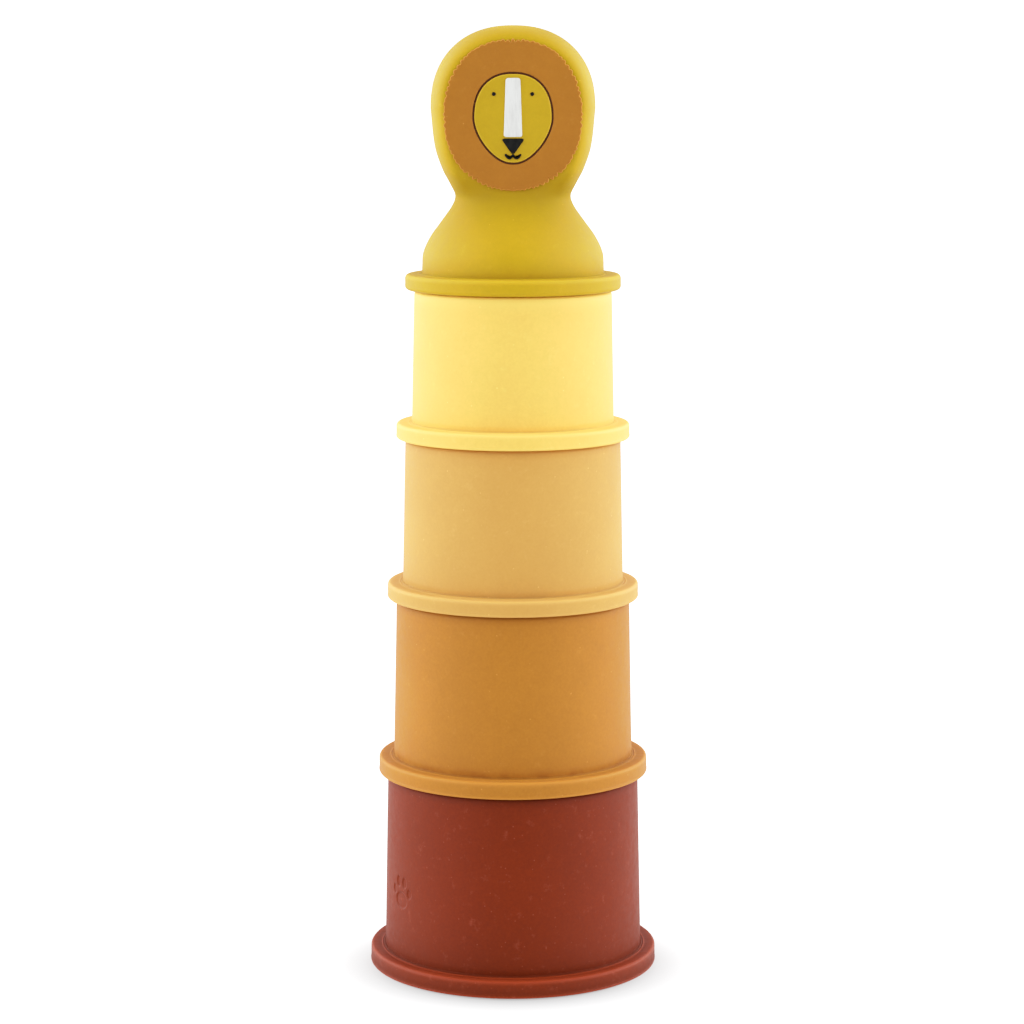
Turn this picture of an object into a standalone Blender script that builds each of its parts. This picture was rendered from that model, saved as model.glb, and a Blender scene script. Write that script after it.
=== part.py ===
"""Stacking cup tower: four silicone cups standing mouth down and a hollow lion topper.

Metres, +Z up, front towards -Y. The origin is the centre of the lowest rim's underside.
Each cup's closed end has a low round step, a spigot, that sits in the mouth of the next piece.
"""

import math

import bmesh
import bpy
from mathutils import Matrix

# Driving dimensions of the stack
CUP_NAMES = ("base_cup", "second_cup", "third_cup", "fourth_cup")
RIM_RADIUS = 0.0454
RIM_RADIUS_STEP = 0.003
RIM_HEIGHTS = (0.0054, 0.0053, 0.0050, 0.0049, 0.0049)
FOOT_RADIUS = 0.0407
FOOT_RADIUS_STEP = 0.00308
CUP_PITCHES = (0.0614, 0.0555, 0.0502, 0.0460)
DRAFT_ANGLE = math.radians(1.2)
WALL = 0.0025
SPIGOT_INSET = 0.0061
SPIGOT_HEIGHT = 0.004
GAP = 0.0003

# Roundings of the turned pieces
SHOULDER_ROUND = 0.0012
FOOT_FILLET = 0.0010
RIM_TOP_ROUND = 0.0009
RIM_BOTTOM_ROUND = 0.0006
SPIGOT_ROUND = 0.0010
MOUTH_CHAMFER = 0.0006

# Mesh fineness
TURN_STEPS = 48
ARC_STEPS = 2
MERGE_DISTANCE = 0.00001

# Topper: a round bell, a waist and a flat head whose front and back are parallel
HEAD_CENTRE_Z = 0.2685
HEAD_HALF_WIDTH = 0.0253
HEAD_TOP_RISE = 0.0252
HEAD_EXPONENT = 2.25
HEAD_HALF_DEPTH = 0.0130
HEAD_EDGE_ROUND = 0.0046
BLEND_BOTTOM_Z = 0.240
BLEND_TOP_Z = 0.250
BELL_FOOT_Z = 0.2193
WIDTH_KNOTS = (
    (0.2193, 0.0281),
    (0.2245, 0.0277),
    (0.2295, 0.0254),
    (0.2345, 0.0218),
    (0.2390, 0.0187),
    (0.2420, 0.0178),
    (0.2452, 0.0192),
    (0.2500, 0.0217),
    (0.2570, 0.0240),
    (0.2685, 0.0253),
)
DEPTH_KNOTS = (
    (0.2193, 0.0281),
    (0.2245, 0.0276),
    (0.2290, 0.0252),
    (0.2330, 0.0215),
    (0.2370, 0.0172),
    (0.2405, 0.0142),
    (0.2440, 0.0129),
    (0.2480, 0.0130),
    (0.2685, 0.0130),
)
CAVITY_KNOTS = (
    (0.2190, 0.0256, 0.0256),
    (0.2240, 0.0248, 0.0246),
    (0.2290, 0.0222, 0.0218),
    (0.2350, 0.0180, 0.0158),
    (0.2410, 0.0148, 0.0104),
    (0.2470, 0.0140, 0.0086),
    (0.2640, 0.0138, 0.0085),
)
CAVITY_DOME_RISE = 0.0135
CAVITY_DOME_ANGLES = (25, 50, 72)
HEAD_RINGS = 11
NECK_RING_SPACING = 0.0026

# Inlays on the head's front, all centred on the X = 0 plane
MANE_CENTRE_Z = 0.2667
MANE_HALF_WIDTH = 0.0212
MANE_HALF_HEIGHT = 0.0229
MANE_EXPONENT = 2.2
MANE_TUFTS = 40
TUFT_DEPTH = 0.0008
TUFT_VARIATION = 0.35
TUFT_WAVES = 5
TUFT_POINTS = 4
MANE_PROUD = 0.0006
MANE_THICKNESS = 0.0012
FACE_CENTRE_Z = 0.2657
FACE_HALF_WIDTH = 0.0117
FACE_HALF_HEIGHT = 0.0133
FACE_EXPONENT = 2.3
CHIN_TAPER = 0.34
FACE_OUTLINE_WIDTH = 0.0006
FACE_PROUD = 0.0008
FACE_THICKNESS = 0.0015
BACKING_THICKNESS = 0.0012
FEATURE_PROUD = 0.0010
FEATURE_THICKNESS = 0.0007
BRIDGE_TOP_Z = 0.2778
BRIDGE_BOTTOM_Z = 0.2601
BRIDGE_TOP_HALF_WIDTH = 0.0022
BRIDGE_BOTTOM_HALF_WIDTH = 0.0028
BRIDGE_CORNER = 0.0008
NOSE_TOP_Z = 0.2597
NOSE_HEIGHT = 0.0052
NOSE_HALF_WIDTH = 0.0037
NOSE_CORNER = 0.0013
MOUTH_Z = 0.2547
MOUTH_HALF_WIDTH = 0.0022
MOUTH_SAG = 0.0010
MOUTH_LINE = 0.0007
EYE_Z = 0.2730
EYE_SPACING = 0.0058
EYE_RADIUS = 0.0006
CUT_CLEARANCE_Y = 0.020

# Colours as sRGB hex and one roughness for the matt silicone
COLOURS = {
    "terracotta_silicone": "A5492C",
    "ochre_silicone": "D69647",
    "apricot_silicone": "EABB6E",
    "pale_yellow_silicone": "FCE57F",
    "mustard_silicone": "DDBB42",
    "face_mustard_silicone": "D1AD30",
    "mane_brown_silicone": "BC7F35",
    "outline_brown_silicone": "6A3A12",
    "nose_bridge_white_silicone": "ECECE6",
    "nose_black_silicone": "262622",
}
SILICONE_ROUGHNESS = 0.6
CUP_MATERIALS = ("terracotta_silicone", "ochre_silicone", "apricot_silicone", "pale_yellow_silicone")


def clear_scene():
    """Remove whatever the file opened with."""
    for old in list(bpy.data.objects):
        bpy.data.objects.remove(old, do_unlink=True)


def new_collection(name):
    collection = bpy.data.collections.new(name)
    bpy.context.scene.collection.children.link(collection)
    return collection


def linear(channel):
    """One sRGB channel, 0 to 1, as linear light."""
    if channel <= 0.04045:
        return channel / 12.92
    return ((channel + 0.055) / 1.055) ** 2.4


def silicone(name):
    """The matt silicone of that name, made once."""
    if name in bpy.data.materials:
        return bpy.data.materials[name]
    channels = [int(COLOURS[name][i : i + 2], 16) / 255 for i in (0, 2, 4)]
    material = bpy.data.materials.new(name)
    material.use_nodes = True
    shader = material.node_tree.nodes["Principled BSDF"]
    shader.inputs["Base Color"].default_value = (*map(linear, channels), 1.0)
    shader.inputs["Roughness"].default_value = SILICONE_ROUGHNESS
    shader.inputs["Metallic"].default_value = 0.0
    return material


def add_object(name, mesh, collection, material_name):
    part = bpy.data.objects.new(name, mesh)
    collection.objects.link(part)
    mesh.materials.append(silicone(material_name))
    return part


# Where the pieces stand


def rim_bottom(index):
    """Height of a piece's rim underside: the pitches of the cups below it, added up."""
    return sum(CUP_PITCHES[:index])


def rim_radius(index):
    return RIM_RADIUS - index * RIM_RADIUS_STEP


def foot_radius(index):
    return FOOT_RADIUS - index * FOOT_RADIUS_STEP


# Turned profiles, as (radius, height) points


def corner(radius, height, size, start, turn):
    """Points of a quarter-round of that size whose arc centre is (radius, height)."""
    angles = [start + turn * step / ARC_STEPS for step in range(ARC_STEPS + 1)]
    return [
        (radius + size * math.cos(math.radians(a)), height + size * math.sin(math.radians(a)))
        for a in angles
    ]


def rim_profile(index):
    """Rim from the fillet at the wall's foot, round the outside, to the chamfered mouth."""
    outer, foot, height = rim_radius(index), foot_radius(index), RIM_HEIGHTS[index]
    mouth = foot - WALL
    top, low = RIM_TOP_ROUND, RIM_BOTTOM_ROUND
    points = corner(foot + FOOT_FILLET, height + FOOT_FILLET, FOOT_FILLET, 180, 90)
    points += corner(outer - top, height - top, top, 90, -90)
    points += corner(outer - low, low, low, 0, -90)
    points += [(mouth + MOUTH_CHAMFER, 0.0), (mouth, MOUTH_CHAMFER)]
    return points


def cup_profile(index):
    """Half section of a cup, from the top centre down the outside and back up the inside."""
    foot = foot_radius(index)
    top = CUP_PITCHES[index] - GAP
    shoulder = foot - (top - RIM_HEIGHTS[index]) * math.tan(DRAFT_ANGLE)
    spigot = foot - SPIGOT_INSET
    points = [(0.0, top + SPIGOT_HEIGHT)]
    points += corner(spigot - SPIGOT_ROUND, top + SPIGOT_HEIGHT - SPIGOT_ROUND, SPIGOT_ROUND, 90, -90)
    points += [(spigot, top)]
    points += corner(shoulder - SHOULDER_ROUND, top - SHOULDER_ROUND, SHOULDER_ROUND, 90, -90)
    points += rim_profile(index)
    points += [
        (foot - WALL, RIM_HEIGHTS[index]),
        (shoulder - WALL, top - WALL),
        (spigot - WALL, top - WALL),
        (spigot - WALL, top + SPIGOT_HEIGHT - WALL),
        (0.0, top + SPIGOT_HEIGHT - WALL),
    ]
    return points


def turned(name, profile, collection, material_name):
    """A solid of revolution about Z from an open profile that starts and ends on the axis."""
    mesh = bpy.data.meshes.new(name)
    edges = [(i, i + 1) for i in range(len(profile) - 1)]
    mesh.from_pydata([(radius, 0.0, height) for radius, height in profile], edges, [])
    part = add_object(name, mesh, collection, material_name)
    screw = part.modifiers.new("turn", "SCREW")
    screw.axis = "Z"
    screw.steps = TURN_STEPS
    screw.render_steps = TURN_STEPS
    screw.use_merge_vertices = True
    screw.merge_threshold = MERGE_DISTANCE
    screw.use_smooth_shade = True
    return part


# Topper body: a loft through horizontal sections


def smooth_curve(knots, value, column=1):
    """Cubic through (value, result, ...) knots whose slopes follow the neighbouring knots."""
    last = len(knots) - 1
    if value <= knots[0][0]:
        return knots[0][column]
    if value >= knots[last][0]:
        return knots[last][column]
    i = max(j for j in range(last) if knots[j][0] <= value)

    def slope(j):
        before, after = knots[max(j - 1, 0)], knots[min(j + 1, last)]
        return (after[column] - before[column]) / (after[0] - before[0])

    span = knots[i + 1][0] - knots[i][0]
    t = (value - knots[i][0]) / span
    start, end = knots[i][column], knots[i + 1][column]
    return (
        start * (1 + 2 * t) * (1 - t) ** 2
        + slope(i) * span * t * (1 - t) ** 2
        + end * t * t * (3 - 2 * t)
        + slope(i + 1) * span * t * t * (t - 1)
    )


def smooth_step(value, low, high):
    t = min(max((value - low) / (high - low), 0.0), 1.0)
    return t * t * (3 - 2 * t)


def topper_half_width(z):
    """Front outline: knots up to the head's widest height, then a superellipse over the top."""
    if z <= HEAD_CENTRE_Z:
        return smooth_curve(WIDTH_KNOTS, z)
    rise = min((z - HEAD_CENTRE_Z) / HEAD_TOP_RISE, 1.0)
    return HEAD_HALF_WIDTH * (1 - rise**HEAD_EXPONENT) ** (1 / HEAD_EXPONENT)


def edge_distance(x, z):
    """How far a point of the head's front lies inside the head's outline."""
    if z <= HEAD_CENTRE_Z:
        return topper_half_width(z) - abs(x)
    across, up = abs(x) / HEAD_HALF_WIDTH, (z - HEAD_CENTRE_Z) / HEAD_TOP_RISE
    share = (across**HEAD_EXPONENT + up**HEAD_EXPONENT) ** (1 / HEAD_EXPONENT)
    if share == 0:
        return HEAD_HALF_WIDTH
    return math.hypot(x, z - HEAD_CENTRE_Z) * (1 / share - 1)


def topper_half_depth(x, z):
    """Half the thickness at a point of the front view: elliptic below, a round-edged slab above."""
    half_width = topper_half_width(z)
    if half_width == 0:
        return 0.0
    inside = max(1 - (x / half_width) ** 2, 0.0)
    elliptic = smooth_curve(DEPTH_KNOTS, z) * math.sqrt(inside)
    reach = min(max(edge_distance(x, z) / HEAD_EDGE_ROUND, 0.0), 1.0)
    slab = HEAD_HALF_DEPTH * math.sqrt(1 - (1 - reach) ** 2)
    share = smooth_step(z, BLEND_BOTTOM_Z, BLEND_TOP_Z)
    return elliptic * (1 - share) + slab * share


def section(half_width, half_depth, z):
    """One ring of points; half_depth is a function of x."""
    ring = []
    for step in range(TURN_STEPS):
        angle = 2 * math.pi * step / TURN_STEPS
        x = half_width * math.cos(angle)
        side = round(math.sin(angle), 9)
        y = math.copysign(half_depth(x), side) if side else 0.0
        ring.append((x, y, z))
    return ring


def ellipse(half_width, half_depth, z):
    """One elliptic ring; a circle where both halves are equal."""
    angles = [2 * math.pi * step / TURN_STEPS for step in range(TURN_STEPS)]
    return [(half_width * math.cos(a), half_depth * math.sin(a), z) for a in angles]


def topper_rings(bottom):
    """Rings of the topper from just under the crown, down the outside and up the cavity."""
    rings = []
    for step in range(HEAD_RINGS - 1, -1, -1):
        z = HEAD_CENTRE_Z + HEAD_TOP_RISE * math.sin(math.radians(90 * step / HEAD_RINGS))
        rings.append(section(topper_half_width(z), lambda x, z=z: topper_half_depth(x, z), z))
    spans = round((HEAD_CENTRE_Z - BELL_FOOT_Z) / NECK_RING_SPACING)
    for step in range(1, spans + 1):
        z = HEAD_CENTRE_Z + (BELL_FOOT_Z - HEAD_CENTRE_Z) * step / spans
        rings.append(section(topper_half_width(z), lambda x, z=z: topper_half_depth(x, z), z))
    for radius, height in rim_profile(len(CUP_NAMES))[1:]:
        rings.append(ellipse(radius, radius, bottom + height))
    for z, half_width, half_depth in CAVITY_KNOTS:
        rings.append(ellipse(half_width, half_depth, z))
    dome_bottom, dome_width, dome_depth = CAVITY_KNOTS[-1]
    for angle in CAVITY_DOME_ANGLES:
        share = math.cos(math.radians(angle))
        z = dome_bottom + CAVITY_DOME_RISE * math.sin(math.radians(angle))
        rings.append(ellipse(dome_width * share, dome_depth * share, z))
    return rings


def make_topper(collection):
    """Skin the rings, closing the crown and the cavity's dome to a point."""
    rings = topper_rings(rim_bottom(len(CUP_NAMES)))
    build = bmesh.new()
    loops = [[build.verts.new(point) for point in ring] for ring in rings]
    crown = build.verts.new((0.0, 0.0, HEAD_CENTRE_Z + HEAD_TOP_RISE))
    dome = build.verts.new((0.0, 0.0, CAVITY_KNOTS[-1][0] + CAVITY_DOME_RISE))
    for step in range(TURN_STEPS):
        after = (step + 1) % TURN_STEPS
        build.faces.new((crown, loops[0][step], loops[0][after]))
        build.faces.new((dome, loops[-1][after], loops[-1][step]))
        for upper, lower in zip(loops, loops[1:]):
            build.faces.new((upper[step], lower[step], lower[after], upper[after]))
    mesh = bpy.data.meshes.new("lion_topper")
    build.to_mesh(mesh)
    build.free()
    mesh.shade_smooth()
    return add_object("lion_topper", mesh, collection, "mustard_silicone")


# Flat inlays: outlines in the front view as (x, z) points, anticlockwise


def superellipse(centre_z, half_width, half_height, exponent, count, shape):
    """Closed outline; shape(angle) returns factors for x and z at each point.

    Points start half a step round, so none lies on the X = 0 plane, where the loft has edges.
    """
    points = []
    for step in range(count):
        angle = 2 * math.pi * (step + 0.5) / count
        c, s = math.cos(angle), math.sin(angle)
        reach = (abs(c) ** exponent + abs(s) ** exponent) ** (-1 / exponent)
        across, up = shape(angle)
        points.append((half_width * reach * c * across, centre_z + half_height * reach * s * up))
    return points


def grown(outline, amount):
    """The outline moved outwards by that amount at each point."""
    moved = []
    for i, (x, z) in enumerate(outline):
        before, after = outline[i - 1], outline[(i + 1) % len(outline)]
        across, up = after[0] - before[0], after[1] - before[1]
        length = math.hypot(across, up)
        moved.append((x + amount * up / length, z - amount * across / length))
    return moved


def rounded(corners, size, steps=3):
    """A polygon whose corners are cut by curves that start that far from each corner."""
    points = []
    for i, (x, z) in enumerate(corners):
        before, after = corners[i - 1], corners[(i + 1) % len(corners)]
        ends = []
        for other in (before, after):
            length = math.hypot(other[0] - x, other[1] - z)
            ends.append((x + (other[0] - x) * size / length, z + (other[1] - z) * size / length))
        for step in range(steps + 1):
            t = step / steps
            points.append(
                tuple(
                    (1 - t) ** 2 * ends[0][axis] + 2 * t * (1 - t) * (x, z)[axis] + t * t * ends[1][axis]
                    for axis in (0, 1)
                )
            )
    return points


def mane_outline():
    """A ring of fine round tufts, cut deeper in some places than in others."""

    def tuft(angle):
        depth = TUFT_DEPTH * (1 + TUFT_VARIATION * math.cos(TUFT_WAVES * (angle - math.pi / 2)))
        dip = 1 - abs(math.cos(MANE_TUFTS * angle / 2))
        factor = 1 - dip * depth / MANE_HALF_WIDTH
        return factor, factor

    count = MANE_TUFTS * TUFT_POINTS
    return superellipse(MANE_CENTRE_Z, MANE_HALF_WIDTH, MANE_HALF_HEIGHT, MANE_EXPONENT, count, tuft)


def face_outline():
    """Broad brow narrowing evenly to a rounded chin."""

    def narrowing(angle):
        return 1 - CHIN_TAPER * max(-math.sin(angle), 0.0) ** 1.5, 1.0

    return superellipse(FACE_CENTRE_Z, FACE_HALF_WIDTH, FACE_HALF_HEIGHT, FACE_EXPONENT, 48, narrowing)


def bridge_outline():
    """Pale nose bridge that widens evenly towards the nose."""
    corners = [
        (-BRIDGE_BOTTOM_HALF_WIDTH, BRIDGE_BOTTOM_Z),
        (BRIDGE_BOTTOM_HALF_WIDTH, BRIDGE_BOTTOM_Z),
        (BRIDGE_TOP_HALF_WIDTH, BRIDGE_TOP_Z),
        (-BRIDGE_TOP_HALF_WIDTH, BRIDGE_TOP_Z),
    ]
    return rounded(corners, BRIDGE_CORNER)


def nose_outline():
    """Triangle on its point with round corners."""
    corners = [
        (0.0, NOSE_TOP_Z - NOSE_HEIGHT),
        (NOSE_HALF_WIDTH, NOSE_TOP_Z),
        (-NOSE_HALF_WIDTH, NOSE_TOP_Z),
    ]
    return rounded(corners, NOSE_CORNER)


def mouth_outline():
    """A band along two equal sagging curves that meet under the nose."""
    steps = 12
    lower, upper = [], []
    for step in range(steps + 1):
        share = 2 * step / steps - 1
        x = share * MOUTH_HALF_WIDTH
        z = MOUTH_Z - MOUTH_SAG * abs(math.sin(math.pi * share))
        lower.append((x, z - MOUTH_LINE / 2))
        upper.append((x, z + MOUTH_LINE / 2))
    return lower + upper[::-1]


def eye_outline(side):
    angles = [2 * math.pi * step / 16 for step in range(16)]
    return [
        (side * EYE_SPACING + EYE_RADIUS * math.cos(a), EYE_Z + EYE_RADIUS * math.sin(a)) for a in angles
    ]


def plate(name, outlines, back, front, collection, material_name):
    """Closed plate between two depths, counted forwards from the object's mid plane."""
    curve = bpy.data.curves.new(name, "CURVE")
    curve.dimensions = "2D"
    curve.fill_mode = "BOTH"
    curve.extrude = (front - back) / 2
    for outline in outlines:
        spline = curve.splines.new("POLY")
        spline.points.add(len(outline) - 1)
        for point, (x, z) in zip(spline.points, outline):
            point.co = (x, z, 0.0, 1.0)
        spline.use_cyclic_u = True
    drawn = bpy.data.objects.new(name + "_curve", curve)
    collection.objects.link(drawn)
    upright = Matrix.Rotation(math.pi / 2, 4, "X")
    drawn.matrix_world = Matrix.Translation((0, -(front + back) / 2, 0)) @ upright
    bpy.context.view_layer.update()
    evaluated = drawn.evaluated_get(bpy.context.evaluated_depsgraph_get())
    mesh = bpy.data.meshes.new_from_object(evaluated)
    mesh.name = name
    mesh.materials.clear()
    weld = bmesh.new()
    weld.from_mesh(mesh)
    bmesh.ops.remove_doubles(weld, verts=weld.verts, dist=MERGE_DISTANCE)
    bmesh.ops.recalc_face_normals(weld, faces=weld.faces)
    weld.to_mesh(mesh)
    weld.free()
    part = add_object(name, mesh, collection, material_name)
    part.matrix_world = drawn.matrix_world.copy()
    bpy.data.objects.remove(drawn, do_unlink=True)
    return part


def cut(part, outline, floor, cutters):
    """Sink a pocket of that outline into a part, from the front down to the floor depth."""
    name = f"cutter_{len(cutters.objects):02d}"
    cutter = plate(name, [outline], floor, floor + CUT_CLEARANCE_Y, cutters, "mustard_silicone")
    cutter.hide_render = True
    cutter.display_type = "WIRE"
    pocket = part.modifiers.new(name, "BOOLEAN")
    pocket.operation = "DIFFERENCE"
    pocket.solver = "EXACT"
    pocket.object = cutter


def make_inlays(topper, collection, cutters):
    """Mane ring, dark backing, face panel and the features let into the panel."""
    mane, face = mane_outline(), face_outline()
    hole = grown(face, FACE_OUTLINE_WIDTH)
    mane_front = HEAD_HALF_DEPTH + MANE_PROUD
    mane_back = mane_front - MANE_THICKNESS
    face_front = HEAD_HALF_DEPTH + FACE_PROUD
    face_back = face_front - FACE_THICKNESS
    backing_front = face_back - GAP
    backing_back = backing_front - BACKING_THICKNESS
    feature_front = HEAD_HALF_DEPTH + FEATURE_PROUD
    feature_back = feature_front - FEATURE_THICKNESS

    plate("mane_inlay", [mane, hole], mane_back, mane_front, collection, "mane_brown_silicone")
    backing = [grown(face, GAP)]
    plate("face_backing", backing, backing_back, backing_front, collection, "outline_brown_silicone")
    panel = plate("face_panel", [face], face_back, face_front, collection, "face_mustard_silicone")
    cut(topper, grown(mane, GAP), mane_back - GAP, cutters)
    cut(topper, hole, backing_back - GAP, cutters)

    features = {
        "nose_bridge_inlay": (bridge_outline(), "nose_bridge_white_silicone"),
        "nose_inlay": (nose_outline(), "nose_black_silicone"),
        "mouth_inlay": (mouth_outline(), "nose_black_silicone"),
        "eye_left_inlay": (eye_outline(-1), "nose_black_silicone"),
        "eye_right_inlay": (eye_outline(1), "nose_black_silicone"),
    }
    for name, (outline, material_name) in features.items():
        plate(name, [outline], feature_back, feature_front, collection, material_name)
        cut(panel, grown(outline, GAP), feature_back - GAP, cutters)


def main():
    clear_scene()
    tower = new_collection("stacking_cup_tower")
    cutters = new_collection("cutters")
    for index, name in enumerate(CUP_NAMES):
        cup = turned(name, cup_profile(index), tower, CUP_MATERIALS[index])
        cup.location.z = rim_bottom(index)
    topper = make_topper(tower)
    make_inlays(topper, tower, cutters)


main()
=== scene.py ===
"""Looks of the stacking cup tower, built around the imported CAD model.

Metres, +Z up, front towards -Y. Each CAD solid is replaced by a fine mesh of the same size:
turned cups with small fillets, a lofted topper and rounded face inlays, all in matt silicone.
"""

import math

import bpy
import numpy as np
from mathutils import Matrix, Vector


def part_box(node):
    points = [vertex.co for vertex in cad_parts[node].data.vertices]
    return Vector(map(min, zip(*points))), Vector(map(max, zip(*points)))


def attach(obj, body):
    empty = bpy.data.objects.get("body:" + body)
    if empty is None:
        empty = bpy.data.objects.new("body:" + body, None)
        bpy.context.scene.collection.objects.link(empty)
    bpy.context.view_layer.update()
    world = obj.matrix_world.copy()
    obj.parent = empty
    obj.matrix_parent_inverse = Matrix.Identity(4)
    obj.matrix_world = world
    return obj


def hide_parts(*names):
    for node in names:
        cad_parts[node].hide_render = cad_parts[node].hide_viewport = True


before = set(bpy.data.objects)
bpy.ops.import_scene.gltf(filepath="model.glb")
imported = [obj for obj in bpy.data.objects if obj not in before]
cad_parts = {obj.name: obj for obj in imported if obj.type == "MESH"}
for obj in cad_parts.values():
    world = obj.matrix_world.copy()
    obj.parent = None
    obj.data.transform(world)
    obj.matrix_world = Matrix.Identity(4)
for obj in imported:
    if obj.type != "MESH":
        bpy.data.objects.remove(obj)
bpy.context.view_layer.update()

# Sizes that the CAD parts' boxes don't give, as in the CAD
CUPS = ("base_cup", "second_cup", "third_cup", "fourth_cup")
BODIES = {"base_cup": "base", "second_cup": "second", "third_cup": "third", "fourth_cup": "fourth"}
RIM_HEIGHTS = (0.0054, 0.0053, 0.0050, 0.0049, 0.0049)
FOOT_INSETS = (0.0047, 0.00478, 0.00486, 0.00494, 0.0053)
DRAFT_ANGLE = math.radians(1.2)
WALL = 0.0025
SPIGOT_INSET = 0.0061
SPIGOT_HEIGHT = 0.004

# Small forms of the turned pieces
RIM_TOP_ROUNDS = (0.0009, 0.0009, 0.0010, 0.0010, 0.0013)
RIM_BOTTOM_ROUNDS = (0.0005, 0.0007, 0.0008, 0.0008, 0.0012)
RIM_TOP_SLOPE = 0.00008
FLASH_HEIGHT = 0.0006
FLASH_RISES = (0.0005, 0.00025)
FLASH_DEPTHS = (0.00012, 0.00012, 0.00009, 0.00009, 0.00003)
CREASE_DEPTH = 0.00012
BEAD_OFFSET = 0.0009
BEAD_WIDTH = 0.0007
BEAD_HEIGHT = 0.00012
SHOULDER_ROUND = 0.0012
SPIGOT_ROUND = 0.001
SPIGOT_FOOT_ROUND = 0.0005
MOUTH_ROUND = 0.0005
INSIDE_ROUND = 0.001
INSIDE_SPIGOT_ROUND = 0.0008
CREASE_ROUND = 0.0002
CREASE_RISE = 0.0005
ROUND_STEPS = 7
TURN_STEPS = 288
WALL_ROWS = 30
WALL_FOOT_GAP = 0.0008
WOBBLE = 0.00007
HAIR = 0.0001

# Sunk paw mark low on the base cup's left
PAW_ANGLE = math.radians(-150)
PAW_HEIGHT = 0.0262
PAW_DEPTH = 0.00028
PAW_SOFTNESS = 0.00035
PAW_REACH = 0.0072
PAW_SPACING = 0.0002
PAW_MARGIN = 0.0005
PAW_WALL = 0.0012
PAW_RADIUS = 0.040
PAW_PADS = (
    (0.0, -0.0022, 0.0034, 0.0026),
    (-0.0046, 0.0006, 0.0011, 0.0015),
    (-0.0018, 0.0036, 0.0012, 0.0017),
    (0.0018, 0.0036, 0.0012, 0.0017),
    (0.0046, 0.0006, 0.0011, 0.0015),
)

# Topper, as in the CAD
HEAD_CENTRE_Z = 0.2685
HEAD_HALF_WIDTH = 0.0253
HEAD_TOP_RISE = 0.0252
HEAD_EXPONENT = 2.25
HEAD_HALF_DEPTH = 0.0130
HEAD_EDGE_ROUND = 0.0046
BLEND_BOTTOM_Z = 0.240
BLEND_TOP_Z = 0.250
BELL_FOOT_Z = 0.2193
WIDTH_KNOTS = (
    (0.2193, 0.0281),
    (0.2245, 0.0277),
    (0.2295, 0.0254),
    (0.2345, 0.0218),
    (0.2390, 0.0187),
    (0.2420, 0.0178),
    (0.2452, 0.0192),
    (0.2500, 0.0217),
    (0.2570, 0.0240),
    (0.2685, 0.0253),
)
DEPTH_KNOTS = (
    (0.2193, 0.0281),
    (0.2245, 0.0276),
    (0.2290, 0.0252),
    (0.2330, 0.0215),
    (0.2370, 0.0172),
    (0.2405, 0.0142),
    (0.2440, 0.0129),
    (0.2480, 0.0130),
    (0.2685, 0.0130),
)
CAVITY_KNOTS = (
    (0.2190, 0.0256, 0.0256),
    (0.2240, 0.0248, 0.0246),
    (0.2290, 0.0222, 0.0218),
    (0.2350, 0.0180, 0.0158),
    (0.2410, 0.0148, 0.0104),
    (0.2470, 0.0140, 0.0086),
    (0.2640, 0.0138, 0.0085),
)
CAVITY_DOME_RISE = 0.0135
TOPPER_STEPS = 224
TOPPER_ROW = 0.0007
HEAD_ROWS = 44
CAVITY_ROWS = 24
DOME_ROWS = 10

# Face inlays, as in the CAD
MANE_CENTRE_Z = 0.2667
MANE_HALF_WIDTH = 0.0212
MANE_HALF_HEIGHT = 0.0229
MANE_EXPONENT = 2.2
MANE_TUFTS = 40
TUFT_DEPTH = 0.0008
TUFT_VARIATION = 0.35
TUFT_WAVES = 5
FINE_TUFTS = 84
FINE_SHARE = 0.7
FINE_DEPTH = 1.25
FINE_DRIFTS = ((9, 0.012), (14, -0.008))
FINE_SPREAD = 0.4
FINE_WAVES = (11, 4)
MANE_EDGE = 0.00028
FACE_CENTRE_Z = 0.2657
FACE_HALF_WIDTH = 0.0117
FACE_HALF_HEIGHT = 0.0133
FACE_EXPONENT = 2.3
CHIN_TAPER = 0.34
FACE_OUTLINE_WIDTH = 0.0006
BRIDGE_TOP_Z = 0.2778
BRIDGE_BOTTOM_Z = 0.2601
BRIDGE_TOP_HALF_WIDTH = 0.0022
BRIDGE_BOTTOM_HALF_WIDTH = 0.0028
BRIDGE_CORNER = 0.0008
NOSE_TOP_Z = 0.2597
NOSE_HEIGHT = 0.0052
NOSE_HALF_WIDTH = 0.0037
NOSE_CORNER = 0.0013
MOUTH_Z = 0.2547
MOUTH_HALF_WIDTH = 0.0022
MOUTH_SAG = 0.0010
MOUTH_LINE = 0.0007
EYE_Z = 0.2730
EYE_SPACING = 0.0058
EYE_RADIUS = 0.0006
OUTLINE_POINTS = 960
MANE_BACK = HEAD_HALF_DEPTH - 0.0015
MANE_CROWN = 0.0001
BACKING_MARGIN = 0.0009
BACKING_BACK = 0.0112
BACKING_FRONT = 0.0132
BACKING_EDGE = 0.0001
PANEL_BACK = 0.0125
PANEL_FRONT = HEAD_HALF_DEPTH + 0.0005
PANEL_EDGE = 0.00035
PANEL_CROWN = 0.0003
INLAY_BACK = 0.0130
BRIDGE_FRONT = 0.0140
BRIDGE_EDGE = 0.00025
BRIDGE_CROWN = 0.0001
NOSE_FRONT = 0.0141
NOSE_EDGE = 0.0004
NOSE_CROWN = 0.0002
MOUTH_FRONT = 0.01395
MOUTH_EDGE = 0.0002
EYE_FRONT = 0.01395
EYE_EDGE = 0.0003
EYE_POINTS = 48

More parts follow.
